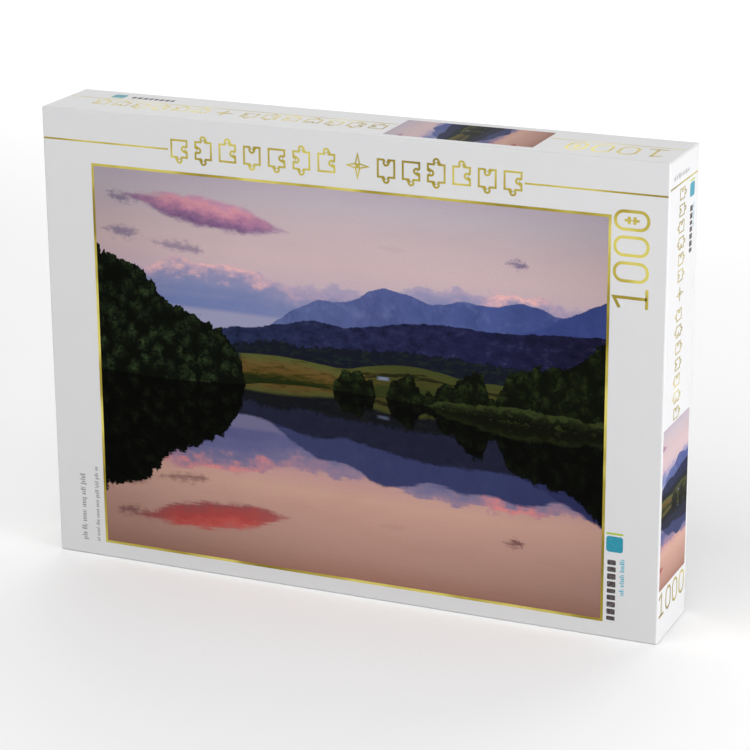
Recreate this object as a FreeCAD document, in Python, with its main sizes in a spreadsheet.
"""Boxed jigsaw puzzle of a thousand pieces, standing on one long edge with its picture side forward.

A telescoping set-up box: a lid and a tray, each one blank of greyboard folded into a shallow tray, stayed at its
four corners with gummed kraft paper and covered with one sheet of printed paper, whose edges turn in over the rim.
The tray holds a sealed film bag with a thousand loose die-cut pieces.

Frame, in millimetres: +X is the viewer's right, +Y points to the back, +Z is up.
The origin is the middle of the footprint on the surface that the box stands on.
"""

import FreeCAD, Part
import math
import os
import random
import re
import Sketcher

from FreeCAD import Placement, Rotation, Vector

# ---------------------------------------------------------------- driving dimensions

SIZES = [
    ("lidWidth", 372.0, "lid, outside, left to right"),
    ("lidHeight", 270.0, "lid, outside, bottom to top"),
    ("boxDepth", 51.0, "closed box, front of the lid to back of the tray"),
    ("trayProud", 0.8, "how far the tray's back stands out of the lid's rim"),
    ("boardThickness", 1.4, "greyboard of lid and tray"),
    ("paperThickness", 0.2, "covering paper"),
    ("glueLine", 0.12, "room for glue and corner stays between board and paper"),
    ("cornerRadius", 0.9, "outside radius of the board's folds and corners"),
    ("turnIn", 15.0, "covering paper turned in over the rim"),
    ("stayReach", 18.0, "length of a corner stay along each wall"),
    ("stayEnd", 1.5, "how far a stay ends short of the board's panel face and rim"),
    ("slipClearance", 0.8, "lid to tray, each side"),
    ("rimClearance", 0.3, "tray's rim to the lid's panel"),
    ("pictureWidth", 640.0, "finished puzzle, left to right"),
    ("pictureHeight", 480.0, "finished puzzle, bottom to top"),
    ("pieceThickness", 1.9, "puzzle board with its printed face"),
    ("knobRadius", 2.5, "round head of a piece's knob"),
    ("knobRise", 3.0, "middle of the knob's head above the piece's edge"),
    ("neckRadius", 0.9, "hollow at each side of the knob's neck"),
    ("heapFill", 0.3, "share of the filled bag that the pieces take up, each with its knobs' reach"),
    ("bagRound", 16.0, "radius of the filled bag's edges"),
    ("filmThickness", 0.25, "bag film"),
    ("bagClearance", 0.4, "bag to tray, and pieces to film"),
    ("bagFrontGap", 2.0, "bag to the plane of the tray's rim"),
    ("sealReach", 9.0, "how far a heat seal stands out of the bag's end"),
    ("sealInset", 32.0, "how far a heat seal ends short of the bag's bottom and top"),
    ("ventRadius", 2.0, "air hole punched in the bag"),
    ("ventInset", 40.0, "air hole below the bag's top"),
]
COLUMNS, ROWS = 40, 25
CUT_SEED, HEAP_SEED = 11, 5

doc = FreeCAD.newDocument("BoxedPuzzle")
sheet = doc.addObject("Spreadsheet::Sheet", "Sizes")
for line, (alias, value, note) in enumerate(SIZES, start=1):
    sheet.set(f"A{line}", note)
    sheet.set(f"B{line}", str(value))
    sheet.setAlias(f"B{line}", alias)
doc.recompute()


def size(alias):
    """A driving dimension's present value, for the shapes that code makes."""
    return float(sheet.get(alias))


ALIASES = re.compile(r"\b(" + "|".join(row[0] for row in SIZES) + r")\b")


def expr(words):
    """The words as an expression, in which each alias is looked up in the sheet."""
    return ALIASES.sub(r"<<Sizes>>.\1", words)


# Sizes that follow from the driving ones. The skin is what covers the board on its outer faces, and the wall is
# the whole thickness of a side, up to the turned-in paper on its inner face.
SKIN = "(paperThickness + glueLine)"
PANEL = f"({SKIN} + boardThickness)"
WALL = f"({PANEL} + paperThickness)"
LID_DEPTH = "(boxDepth - trayProud)"
TRAY_WIDTH = f"(lidWidth - 2 * {WALL} - 2 * slipClearance)"
TRAY_HEIGHT = f"(lidHeight - 2 * {WALL} - 2 * slipClearance)"
TRAY_DEPTH = f"(boxDepth - {PANEL} - rimClearance)"
BAG_WIDTH = f"({TRAY_WIDTH} - 2 * {WALL} - 2 * (sealReach + bagClearance))"
BAG_DEPTH = f"({TRAY_DEPTH} - {PANEL} - bagClearance - bagFrontGap)"
# One piece's share of the heap: it has a knob on half of its four sides.
PIECE_WIDTH = f"(pictureWidth / {COLUMNS} + knobRise + knobRadius)"
PIECE_HEIGHT = f"(pictureHeight / {ROWS} + knobRise + knobRadius)"
HEAP = f"({COLUMNS * ROWS} * {PIECE_WIDTH} * {PIECE_HEIGHT} * pieceThickness)"
BAG_HEIGHT = f"({HEAP} / (heapFill * {BAG_WIDTH} * {BAG_DEPTH}))"

# ---------------------------------------------------------------- helpers


def bind(thing, **bindings):
    """Binds each named property of thing to an expression on the sheet."""
    for name, words in bindings.items():
        thing.setExpression(name.replace("__", "."), expr(words))


def new_body(label):
    body = doc.addObject("PartDesign::Body", label)
    body.Label = label
    return body


def plane_of(body, role):
    return next(f for f in body.Origin.OriginFeatures if f.Role == role)


def sketch_on(body, name, lift="0", role="XY_Plane"):
    """A sketch on one of the body's own planes, lifted off it by an expression."""
    sketch = body.newObject("Sketcher::SketchObject", name)
    sketch.AttachmentSupport = [(plane_of(body, role), "")]
    sketch.MapMode = "FlatFace"
    if lift != "0":
        sketch.setExpression("AttachmentOffset.Base.z", expr(lift))
    return sketch


def add_rectangle(sketch, width, height, centre=("0", "0")):
    """A rectangle about the sketch's vertical axis, its size and the height of its middle given by expressions."""
    first = sketch.GeometryCount
    corners = [Vector(-5, -4), Vector(5, -4), Vector(5, 4), Vector(-5, 4)]
    for a, b in zip(corners, corners[1:] + corners[:1]):
        sketch.addGeometry(Part.LineSegment(a, b))
    for side in range(4):
        sketch.addConstraint(Sketcher.Constraint("Coincident", first + side, 2, first + (side + 1) % 4, 1))
    for side, kind in enumerate(("Horizontal", "Vertical", "Horizontal", "Vertical")):
        sketch.addConstraint(Sketcher.Constraint(kind, first + side))
    across = sketch.addConstraint(Sketcher.Constraint("DistanceX", first, 1, first, 2, 10.0))
    up = sketch.addConstraint(Sketcher.Constraint("DistanceY", first + 1, 1, first + 1, 2, 8.0))
    from_x = sketch.addConstraint(Sketcher.Constraint("DistanceX", first, 1, -1, 1, 5.0))
    from_y = sketch.addConstraint(Sketcher.Constraint("DistanceY", first, 1, -1, 1, 4.0))
    sketch.setExpression(f"Constraints[{across}]", expr(width))
    sketch.setExpression(f"Constraints[{up}]", expr(height))
    sketch.setExpression(f"Constraints[{from_x}]", expr(f"({width}) / 2 - ({centre[0]})"))
    sketch.setExpression(f"Constraints[{from_y}]", expr(f"({height}) / 2 - ({centre[1]})"))


def pad(body, sketch, name, length):
    feature = body.newObject("PartDesign::Pad", name)
    feature.Profile = sketch
    feature.setExpression("Length", expr(length))
    doc.recompute()
    return feature


def pocket(body, sketch, name, length):
    """Cuts from the sketch towards -Z, and makes sure that it cut something."""
    before = body.Shape.Volume
    feature = body.newObject("PartDesign::Pocket", name)
    feature.Profile = sketch
    feature.setExpression("Length", expr(length))
    doc.recompute()
    if body.Shape.Volume >= before:
        raise RuntimeError(f"{body.Label}: {name} cut nothing")
    return feature


def fillet(body, base, name, radius, wanted):
    """Rounds each edge of base for which wanted(edge) is true."""
    chosen = [f"Edge{n}" for n, edge in enumerate(base.Shape.Edges, start=1) if wanted(edge)]
    feature = body.newObject("PartDesign::Fillet", name)
    feature.Base = (base, chosen)
    feature.setExpression("Radius", expr(radius))
    doc.recompute()
    return feature


def upright(edge):
    return edge.BoundBox.ZLength > edge.BoundBox.DiagonalLength * 0.99


def at_floor(edge):
    return edge.BoundBox.ZMax < 1e-6


def rounded_block(body, width, height, depth, radius, name):
    """A block with its panel at Z = 0, rounded at the panel's four folds and the four wall corners."""
    sketch = sketch_on(body, f"{name}Outline")
    add_rectangle(sketch, width, height)
    block = pad(body, sketch, f"{name}Block", depth)
    return fillet(body, block, f"{name}Folds", radius, lambda e: upright(e) or at_floor(e))


# ---------------------------------------------------------------- board, stays and paper of a lid or tray
# Each is made with its panel at Z = 0 and its walls up. The lid then faces forward and the tray backward.


def folded_board(label, width, height, depth):
    """One blank of greyboard, folded up on four sides. The walls meet at a small notch in each corner."""
    body = new_body(label)
    rounded_block(body, width, height, depth, "cornerRadius", "Board")
    room = sketch_on(body, "RoomOutline", lift=depth)
    add_rectangle(room, f"{width} - 2 * boardThickness", f"{height} - 2 * boardThickness")
    pocket(body, room, "Room", f"{depth} - boardThickness")
    notches = sketch_on(body, "NotchOutlines", lift=depth)
    for x_side in (-1, 1):
        for y_side in (-1, 1):
            add_rectangle(
                notches,
                "2 * cornerRadius",
                "2 * cornerRadius",
                centre=(f"{x_side} * ({width}) / 2", f"{y_side} * ({height}) / 2"),
            )
    pocket(body, notches, "Notches", f"{depth} - boardThickness")
    return body


def corner_stay(label, depth):
    """Gummed kraft strip bent round one corner, made at the corner of the board's envelope, legs along -X and -Y."""
    body = new_body(label)
    sketch = sketch_on(body, "StayOutline", lift="stayEnd")
    strip_outline(sketch)
    pad(body, sketch, "Strip", f"{depth} - 2 * stayEnd")
    return body


def strip_outline(sketch):
    """The strip's section: two straight legs and a bend, with the board's corner radius inside."""
    reach, bend, thick = size("stayReach"), size("cornerRadius"), size("glueLine")
    turn = Vector(-bend, -bend)
    quarter = math.pi / 2
    inner = Part.ArcOfCircle(Part.Circle(turn, Vector(0, 0, 1), bend), 0, quarter)
    outer = Part.ArcOfCircle(Part.Circle(turn, Vector(0, 0, 1), bend + thick), 0, quarter)
    lines = [
        (Vector(0, -bend), Vector(0, -reach)),
        (Vector(0, -reach), Vector(thick, -reach)),
        (Vector(thick, -reach), Vector(thick, -bend)),
        (Vector(-bend, thick), Vector(-reach, thick)),
        (Vector(-reach, thick), Vector(-reach, 0)),
        (Vector(-reach, 0), Vector(-bend, 0)),
    ]
    for a, b in lines:
        sketch.addGeometry(Part.LineSegment(a, b))
    sketch.addGeometry(inner)
    sketch.addGeometry(outer)
    inside, outside = 6, 7
    joints = [(0, 2, 1, 1), (1, 2, 2, 1), (3, 2, 4, 1), (4, 2, 5, 1)]
    for joint in joints:
        sketch.addConstraint(Sketcher.Constraint("Coincident", *joint))
    # each leg runs tangent into the bend, inside and outside
    for tangent in [(2, 2, outside, 1), (3, 1, outside, 2), (0, 1, inside, 1), (5, 2, inside, 2)]:
        sketch.addConstraint(Sketcher.Constraint("Tangent", *tangent))
    for line, kind in enumerate(("Vertical", "Horizontal", "Vertical", "Horizontal", "Vertical", "Horizontal")):
        sketch.addConstraint(Sketcher.Constraint(kind, line))
    sketch.addConstraint(Sketcher.Constraint("Coincident", inside, 3, outside, 3))
    sketch.addConstraint(Sketcher.Constraint("PointOnObject", 0, 2, -2))
    sketch.addConstraint(Sketcher.Constraint("PointOnObject", 5, 1, -1))
    radius = sketch.addConstraint(Sketcher.Constraint("Radius", inside, bend))
    thickness = sketch.addConstraint(Sketcher.Constraint("DistanceX", 1, 1, 1, 2, thick))
    leg_down = sketch.addConstraint(Sketcher.Constraint("DistanceY", 0, 2, -1, 1, reach))
    leg_left = sketch.addConstraint(Sketcher.Constraint("DistanceX", 5, 1, -1, 1, reach))
    sketch.setExpression(f"Constraints[{radius}]", expr("cornerRadius"))
    sketch.setExpression(f"Constraints[{thickness}]", expr("glueLine"))
    sketch.setExpression(f"Constraints[{leg_down}]", expr("stayReach"))
    sketch.setExpression(f"Constraints[{leg_left}]", expr("stayReach"))


def covering_paper(label, width, height, depth):
    """One sheet over the panel and walls, folded over the rim and glued down inside as a turned-in border."""
    body = new_body(label)
    block = rounded_block(body, width, height, depth, f"cornerRadius + {SKIN}", "Paper")
    rim_face = next(n for n, f in enumerate(block.Shape.Faces, start=1) if f.BoundBox.ZMin > size("cornerRadius") * 3)
    skin = body.newObject("PartDesign::Thickness", "Skin")
    skin.Base = (block, [f"Face{rim_face}"])
    skin.Reversed = True
    skin.setExpression("Value", expr("paperThickness"))
    doc.recompute()
    opening = f"2 * ({SKIN} + boardThickness)"
    rim = sketch_on(body, "RimOutline", lift=f"{depth} - paperThickness")
    add_rectangle(rim, f"{width} - paperThickness", f"{height} - paperThickness")
    add_rectangle(rim, f"{width} - {opening}", f"{height} - {opening}")
    pad(body, rim, "Rim", "paperThickness")
    border = sketch_on(body, "BorderOutline", lift=f"{depth} - turnIn")
    add_rectangle(border, f"{width} - {opening}", f"{height} - {opening}")
    flap = f"{opening} + 2 * paperThickness"
    add_rectangle(border, f"{width} - ({flap})", f"{height} - ({flap})")
    pad(body, border, "TurnedInBorder", "turnIn")
    return body


CORNERS = [("top_right", 1, 1), ("top_left", -1, 1), ("bottom_left", -1, -1), ("bottom_right", 1, -1)]
SPINS = {(1, 1): 0, (-1, 1): 90, (-1, -1): 180, (1, -1): 270}


def stand(thing, turn, x, y, z):
    """Stands a node in the box's frame: turned about its own origin, which the expressions place."""
    thing.Placement = Placement(Vector(), turn)
    bind(thing, Placement__Base__x=x, Placement__Base__y=y, Placement__Base__z=z)


def box_half(prefix, width, height, depth, into):
    """Paper, board and four stays of the lid (into = 1, opening backward) or the tray (into = -1, forward)."""
    board_width, board_height = f"({width} - 2 * {SKIN})", f"({height} - 2 * {SKIN})"
    # the board ends under the paper that is folded over the rim
    board_depth = f"({depth} - {SKIN} - paperThickness)"
    turn = Rotation(Vector(1, 0, 0), -90 * into)
    outside = f"{-into} * boxDepth / 2"
    inside = f"{outside} + {into} * {SKIN}"
    paper = covering_paper(f"{prefix}_paper", width, height, depth)
    stand(paper, turn, "0", outside, "lidHeight / 2")
    board = folded_board(f"{prefix}_board", board_width, board_height, board_depth)
    stand(board, turn, "0", inside, "lidHeight / 2")
    made = [paper, board]
    for corner, right, up in CORNERS:
        stay = corner_stay(f"{prefix}_stay_{corner}", board_depth)
        spin = Rotation(Vector(0, 0, 1), SPINS[right, -into * up])
        place = (f"{right} * {board_width} / 2", inside, f"lidHeight / 2 + {up} * {board_height} / 2")
        stand(stay, turn * spin, *place)
        made.append(stay)
    return made


nodes = box_half("lid", "lidWidth", "lidHeight", LID_DEPTH, 1)
nodes += box_half("tray", TRAY_WIDTH, TRAY_HEIGHT, TRAY_DEPTH, -1)

# ---------------------------------------------------------------- bag
# Made lying on its back: X across, Y up the box, Z towards the front. It stands on the tray's bottom wall.


def stand_in_tray(thing):
    """Stands the bag or its contents in the tray."""
    floor = f"(lidHeight - {TRAY_HEIGHT}) / 2 + {WALL} + bagClearance"
    stand(thing, Rotation(Vector(1, 0, 0), 90), "0", f"boxDepth / 2 - {PANEL} - bagClearance", floor)


def pillow(label, inset):
    """The filled bag's pillow shape, drawn in by inset on every side."""
    body = new_body(label)
    sketch = sketch_on(body, "PillowOutline", lift=inset)
    across, up = f"{BAG_WIDTH} - 2 * {inset}", f"{BAG_HEIGHT} - 2 * {inset}"
    add_rectangle(sketch, across, up, centre=("0", f"{BAG_HEIGHT} / 2"))
    block = pad(body, sketch, "Pillow", f"{BAG_DEPTH} - 2 * {inset}")
    fillet(body, block, "PillowEdges", f"bagRound - {inset}", lambda edge: True)
    return body


def bag_film():
    """Film bag with a flat heat seal at each end and one small air hole, and the room inside it."""
    outside = pillow("BagOutside", "0")
    inside = pillow("BagInside", "filmThickness")
    seals = []
    for name, side in (("SealLeft", -1), ("SealRight", 1)):
        seal = doc.addObject("Part::Box", name)
        reach = "(sealReach + filmThickness)"
        middle = f"{side} * ({BAG_WIDTH} + sealReach - filmThickness) / 2"
        bind(seal, Length=reach, Width=f"{BAG_HEIGHT} - 2 * sealInset", Height="2 * filmThickness")
        stand(seal, Rotation(), f"{middle} - {reach} / 2", "sealInset", f"{BAG_DEPTH} / 2 - filmThickness")
        seals.append(seal)
    vent = doc.addObject("Part::Cylinder", "AirHole")
    bind(vent, Radius="ventRadius", Height=f"{BAG_DEPTH} / 2")
    stand(vent, Rotation(), "0", f"{BAG_HEIGHT} - ventInset", f"{BAG_DEPTH} / 2")
    whole = doc.addObject("Part::MultiFuse", "BagWhole")
    whole.Shapes = [outside, *seals]
    room = doc.addObject("Part::MultiFuse", "BagRoom")
    room.Shapes = [inside, vent]
    film = doc.addObject("Part::Cut", "bag_film")
    film.Base, film.Tool = whole, room
    doc.recompute()
    return film, inside.Shape.BoundBox


film, bag_room = bag_film()
stand_in_tray(film)
nodes.append(film)

# ---------------------------------------------------------------- the cut of the thousand pieces
# The picture is cut on a grid whose crossings wander a little. Every inner side has one knob, which two pieces share.


def cut_picture():
    """{(column, row): {side: (start, end, knob)}}: each piece's four sides, anticlockwise, in picture coordinates.
    knob is None on the border, or (share along the side, which way it points out of this piece)."""
    chance = random.Random(CUT_SEED)
    wide, tall = size("pictureWidth") / COLUMNS, size("pictureHeight") / ROWS

    def wander(inside):
        return chance.uniform(-0.5, 0.5) if inside else 0.0

    crossing = {
        (c, r): Vector(c * wide + wander(0 < c < COLUMNS), r * tall + wander(0 < r < ROWS), 0)
        for c in range(COLUMNS + 1)
        for r in range(ROWS + 1)
    }
    level = {
        (c, r): (chance.uniform(0.44, 0.56), chance.choice((-1, 1)))
        for c in range(COLUMNS)
        for r in range(1, ROWS)
    }
    plumb = {
        (c, r): (chance.uniform(0.44, 0.56), chance.choice((-1, 1)))
        for c in range(1, COLUMNS)
        for r in range(ROWS)
    }

    def seen_from(knob, forward):
        """A shared knob as the piece on one side of it sees it."""
        if knob is None:
            return None
        share, way = knob
        return (share, way) if forward else (1 - share, -way)

    pieces = {}
    for c in range(COLUMNS):
        for r in range(ROWS):
            a, b, d, e = crossing[c, r], crossing[c + 1, r], crossing[c + 1, r + 1], crossing[c, r + 1]
            pieces[c, r] = {
                "bottom": (a, b, seen_from(level.get((c, r)), True)),
                "right": (b, d, seen_from(plumb.get((c + 1, r)), True)),
                "top": (d, e, seen_from(level.get((c, r + 1)), False)),
                "left": (e, a, seen_from(plumb.get((c, r)), False)),
            }
    return pieces


def side_edges(start, end, knob):
    """One side as edges: straight on the border, else line, neck hollow, round head, neck hollow, line."""
    if knob is None:
        return [Part.LineSegment(start, end).toShape()]
    share, way = knob
    head, rise, neck = size("knobRadius"), size("knobRise"), size("neckRadius")
    along = (end - start).normalize()
    out = Vector(along.y, -along.x, 0) * way
    middle = (end - start).Length * share

    def at(u, v):
        return start + along * (middle + u) + out * v

    apart = math.sqrt((head + neck) ** 2 - (rise - neck) ** 2)
    slope = math.atan2(rise - neck, apart)
    bend = (slope - math.pi / 2) / 2
    touch = (apart - neck * math.cos(slope), neck + neck * math.sin(slope))
    hollow = (apart - neck * math.cos(bend), neck + neck * math.sin(bend))
    points = [at(-apart, 0), at(-touch[0], touch[1]), at(touch[0], touch[1]), at(apart, 0)]
    return [
        Part.LineSegment(start, points[0]).toShape(),
        Part.Arc(points[0], at(-hollow[0], hollow[1]), points[1]).toShape(),
        Part.Arc(points[1], at(0, rise + head), points[2]).toShape(),
        Part.Arc(points[2], at(hollow[0], hollow[1]), points[3]).toShape(),
        Part.LineSegment(points[3], end).toShape(),
    ]


def piece_solid(sides, centre):
    """A piece with the middle of its cell at the origin, its back at Z = 0 and its picture up."""
    edges = [edge for side in ("bottom", "right", "top", "left") for edge in side_edges(*sides[side])]
    wire = Part.Wire(edges)
    wire.translate(-centre)
    return Part.Face(wire).extrude(Vector(0, 0, size("pieceThickness")))


# ---------------------------------------------------------------- the heap in the bag
# Pieces drop one after another onto a height field over the bag's back, each into the best of many random spots,
# tilting with what it lands on. No piece goes below the field that the earlier ones left, so none meets another.


class Heap:
    cell = 1.0
    glances = 250
    trials = 8
    steepest = math.tan(math.radians(8))
    clearance = 0.1

    def __init__(self, room):
        self.chance = random.Random(HEAP_SEED)
        air = size("bagClearance")
        self.thick = size("pieceThickness")
        self.left, self.bottom, self.back = room.XMin + air, room.YMin + air, room.ZMin + air
        self.wide, self.tall, self.deep = room.XLength - 2 * air, room.YLength - 2 * air, room.ZLength - 2 * air
        self.round = size("bagRound") - size("filmThickness") - air
        self.across = int(self.wide / self.cell) + 1
        self.up = int(self.tall / self.cell) + 1
        # the outline reaches further by half a cell's diagonal, and by what a tilted plate's faces shift sideways
        self.margin = self.cell * math.sqrt(0.5) + self.thick * self.steepest / 2
        self.bed = [[self.inward(i, j) for i in range(self.across)] for j in range(self.up)]
        self.height = [list(row) for row in self.bed]

    def inward(self, i, j):
        """How far the pillow's rounded edge stands in over this cell, from the back and from the front alike."""
        x_in = min(i * self.cell, self.wide - i * self.cell)
        y_in = min(j * self.cell, self.tall - j * self.cell)
        short = math.hypot(max(0.0, self.round - x_in), max(0.0, self.round - y_in))
        if short >= self.round:
            return self.deep
        return self.round - math.sqrt(self.round**2 - short**2)

    def lie(self, cells):
        """How a plate lies on these cells: its tilt along x and y, its height in the middle and the void under it.
        None where it would not fit under the bag's front."""
        count = len(cells)
        heights = [self.height[j][i] for j, i, _, _ in cells]
        mean = sum(heights) / count
        spread_x = sum(dx * dx for _, _, dx, _ in cells)
        spread_y = sum(dy * dy for _, _, _, dy in cells)
        a = sum((h - mean) * dx for h, (_, _, dx, _) in zip(heights, cells)) / spread_x
        b = sum((h - mean) * dy for h, (_, _, _, dy) in zip(heights, cells)) / spread_y
        steep = math.hypot(a, b)
        if steep > self.steepest:
            a, b = a * self.steepest / steep, b * self.steepest / steep
        under = [h - a * dx - b * dy for h, (_, _, dx, dy) in zip(heights, cells)]
        rest = max(under)
        top = rest + self.thick * math.sqrt(1 + a * a + b * b)
        if any(top + a * dx + b * dy > self.deep - self.bed[j][i] for j, i, dx, dy in cells):
            return None
        return a, b, rest, rest - sum(under) / count

    def glance(self, x, y, spin, plate):
        """The worth of a spot by nine points of the plate's outline, lower being better, or None."""
        cos, sin = math.cos(spin), math.sin(spin)
        cells = []
        for u in (-plate.half_w, 0, plate.half_w):
            for v in (-plate.half_h, 0, plate.half_h):
                dx, dy = u * cos - v * sin, u * sin + v * cos
                j, i = round((y + dy) / self.cell), round((x + dx) / self.cell)
                if not (0 <= j < self.up and 0 <= i < self.across) or self.bed[j][i] >= self.deep:
                    return None
                cells.append((j, i, dx, dy))
        lying = self.lie(cells)
        return lying and lying[2] + lying[3]

    def cells_under(self, x, y, spin, plate):
        """(row, column, dx, dy) of the cells under the whole plate, or None where it meets the bag's edge."""
        cos, sin = math.cos(spin), math.sin(spin)
        found = []
        for j in range(int((y - plate.reach) / self.cell), int((y + plate.reach) / self.cell) + 2):
            dy = j * self.cell - y
            for i in range(int((x - plate.reach) / self.cell), int((x + plate.reach) / self.cell) + 2):
                dx = i * self.cell - x
                if plate.covers(dx * cos + dy * sin, dy * cos - dx * sin):
                    if not (0 <= j < self.up and 0 <= i < self.across) or self.bed[j][i] >= self.deep:
                        return None
                    found.append((j, i, dx, dy))
        return found

    def drop(self, plate):
        """Drops one plate and gives the placement of its middle, on its lower face."""
        best = None
        while best is None:
            spots = []
            for _ in range(self.glances):
                x, y = self.chance.uniform(0, self.wide), self.chance.uniform(0, self.tall)
                spin = self.chance.uniform(0, 2 * math.pi)
                worth = self.glance(x, y, spin, plate)
                if worth is not None:
                    spots.append((worth, x, y, spin))
            for _, x, y, spin in sorted(spots)[: self.trials]:
                cells = self.cells_under(x, y, spin, plate)
                lying = cells and self.lie(cells)
                if lying and (best is None or lying[2] + lying[3] < best[0]):
                    best = (lying[2] + lying[3], x, y, spin, cells, *lying)
        _, x, y, spin, cells, a, b, rest, _ = best
        lean = math.sqrt(1 + a * a + b * b)
        for j, i, dx, dy in cells:
            self.height[j][i] = rest + a * dx + b * dy + self.thick * lean + self.clearance
        # the plate turns about the middle of its thickness, so that both of its faces shift sideways alike
        normal = Vector(-a, -b, 1).normalize()
        middle = Vector(self.left + x, self.bottom + y, self.back + rest + self.thick * lean / 2)
        turn = Rotation(Vector(0, 0, 1), normal) * Rotation(Vector(0, 0, 1), math.degrees(spin))
        return Placement(middle - normal * (self.thick / 2), turn)


class Plate:
    """A piece's outline as the heap sees it: a rectangle, and a smaller one for each knob that stands out."""

    def __init__(self, sides, centre, margin, flipped):
        corners = [side[0] - centre for side in sides.values()]
        self.half_w = max(abs(p.x) for p in corners) + margin
        self.half_h = max(abs(p.y) for p in corners) + margin
        self.knobs = []
        head = size("knobRadius") + margin
        for start, end, knob in sides.values():
            if knob and knob[1] > 0:
                along = (end - start).normalize()
                middle = start - centre + along * ((end - start).Length * knob[0])
                middle += Vector(along.y, -along.x, 0) * size("knobRise")
                up = -middle.y if flipped else middle.y
                self.knobs.append((middle.x - head, middle.x + head, up - head, up + head))
        self.reach = math.hypot(self.half_w, self.half_h) + head

    def covers(self, u, v):
        if abs(u) < self.half_w and abs(v) < self.half_h:
            return True
        return any(low_u < u < high_u and low_v < v < high_v for low_u, high_u, low_v, high_v in self.knobs)


def pieces_in_bag(room):
    """The thousand pieces, as one node for each row of the picture, counted from its top."""
    wide, tall = size("pictureWidth") / COLUMNS, size("pictureHeight") / ROWS
    picture_down = Placement(Vector(0, 0, size("pieceThickness")), Rotation(Vector(1, 0, 0), 180))
    cut = cut_picture()
    heap = Heap(room)
    order = list(cut)
    heap.chance.shuffle(order)
    rows = {}
    for c, r in order:
        centre = Vector((c + 0.5) * wide, (r + 0.5) * tall, 0)
        flipped = heap.chance.random() < 0.5
        place = heap.drop(Plate(cut[c, r], centre, heap.margin, flipped))
        piece = piece_solid(cut[c, r], centre)
        piece.Placement = place * picture_down if flipped else place
        rows.setdefault(ROWS - r, {})[c] = piece
    made = []
    for row in sorted(rows):
        node = doc.addObject("Part::Feature", f"pieces_row_{row:02d}")
        node.Shape = Part.makeCompound([rows[row][c] for c in range(COLUMNS)])
        stand_in_tray(node)
        made.append(node)
    return made


nodes += pieces_in_bag(bag_room)
doc.recompute()

# ---------------------------------------------------------------- checks and export

for thing in doc.Objects:
    if "Invalid" in thing.State or "Error" in thing.State:
        raise RuntimeError(f"{thing.Label} failed: {thing.State}")

os.makedirs("parts", exist_ok=True)
for node in nodes:
    if node.Shape.isNull() or not node.Shape.isValid():
        raise RuntimeError(f"{node.Label} has no valid shape")
for node in nodes:
    node.Shape.exportStep(f"parts/{node.Label}.step")
    box = node.Shape.BoundBox
    print(
        f"{node.Label}: {len(node.Shape.Solids)} solids, {node.Shape.Volume / 1000:.2f} cm3, "
        f"x {box.XMin:.2f}..{box.XMax:.2f}, y {box.YMin:.2f}..{box.YMax:.2f}, z {box.ZMin:.2f}..{box.ZMax:.2f}"
    )
